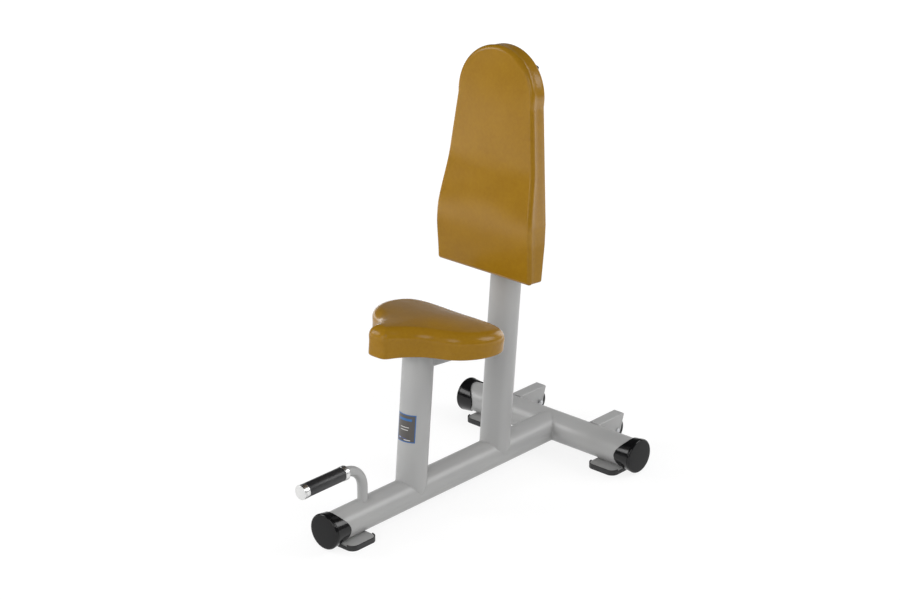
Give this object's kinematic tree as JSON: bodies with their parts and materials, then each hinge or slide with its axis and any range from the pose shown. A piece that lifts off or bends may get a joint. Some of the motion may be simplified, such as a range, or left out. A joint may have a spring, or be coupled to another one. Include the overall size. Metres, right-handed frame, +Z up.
{
  "type": "utility bench",
  "caption": "Upright strength-training seat: round-tube T frame, contoured seat and tall round-topped back pad, front lifting handle and rear transport wheels.",
  "frame": {"origin": "on the floor, below the middle of the bench's width and length", "axes": "+Z up, +Y to the rear, +X to the seated person's left; the bench is the same on both sides of x = 0"},
  "size_m": [0.578, 1.009, 1.0918],
  "materials": {
    "powder_coat": "light grey satin powder coat",
    "black_plastic": "gloss",
    "foot_rubber": "matte",
    "grip_rubber": "fine matte texture",
    "tyre": "matte",
    "bright_metal": "brushed",
    "zinc": "zinc plated",
    "nylon": "matte",
    "vinyl": "mustard vinyl upholstery, satin",
    "plywood": "dark-faced, matte",
    "label_film": null
  },
  "bodies": {
    "frame": {"main_tube": "powder_coat", "cross_tube": "powder_coat", "seat_post": "powder_coat", "back_post": "powder_coat", "front_foot_plate": "powder_coat", "right_foot_plate": "powder_coat", "left_foot_plate": "powder_coat", "handle_tube": "powder_coat", "right_wheel_bracket": "powder_coat", "left_wheel_bracket": "powder_coat", "seat_carrier": "powder_coat", "seat_mount_plate": "powder_coat", "lower_back_plate": "powder_coat", "upper_back_plate": "powder_coat", "front_end_cap": "black_plastic", "right_end_cap": "black_plastic", "left_end_cap": "black_plastic", "back_post_cap": "black_plastic", "carrier_plug": "black_plastic", "front_foot_pad": "foot_rubber", "right_foot_pad": "foot_rubber", "left_foot_pad": "foot_rubber", "handle_grip": "grip_rubber", "handle_end_cap": "bright_metal", "grip_collar": "bright_metal", "right_bush": "zinc", "right_axle_bolt": "zinc", "right_axle_nut": "zinc", "left_bush": "zinc", "left_axle_bolt": "zinc", "left_axle_nut": "zinc", "seat_bolt_1": "zinc", "seat_bolt_2": "zinc", "seat_bolt_3": "zinc", "seat_bolt_4": "zinc", "seat_insert_1": "zinc", "seat_insert_2": "zinc", "seat_insert_3": "zinc", "seat_insert_4": "zinc", "back_bolt_1": "zinc", "back_bolt_2": "zinc", "back_bolt_3": "zinc", "back_bolt_4": "zinc", "back_insert_1": "zinc", "back_insert_2": "zinc", "back_insert_3": "zinc", "back_insert_4": "zinc", "right_outer_washer": "nylon", "right_inner_washer": "nylon", "left_outer_washer": "nylon", "left_inner_washer": "nylon", "seat_cushion": "vinyl", "back_cushion": "vinyl", "seat_board": "plywood", "back_board": "plywood", "post_label": "label_film"},
    "right_wheel": {"right_tyre": "tyre", "right_wheel_hub": "nylon"},
    "left_wheel": {"left_tyre": "tyre", "left_wheel_hub": "nylon"}
  },
  "joints": [
    {"name": "right_wheel_spin", "type": "hinge", "parent": "frame", "child": "right_wheel", "pos_m": [0.1303, 0.473, 0.0476], "axis": [1, 0, 0], "continuous": true},
    {"name": "left_wheel_spin", "type": "hinge", "parent": "frame", "child": "left_wheel", "pos_m": [-0.1303, 0.473, 0.0476], "axis": [1, 0, 0], "continuous": true}
  ]
}
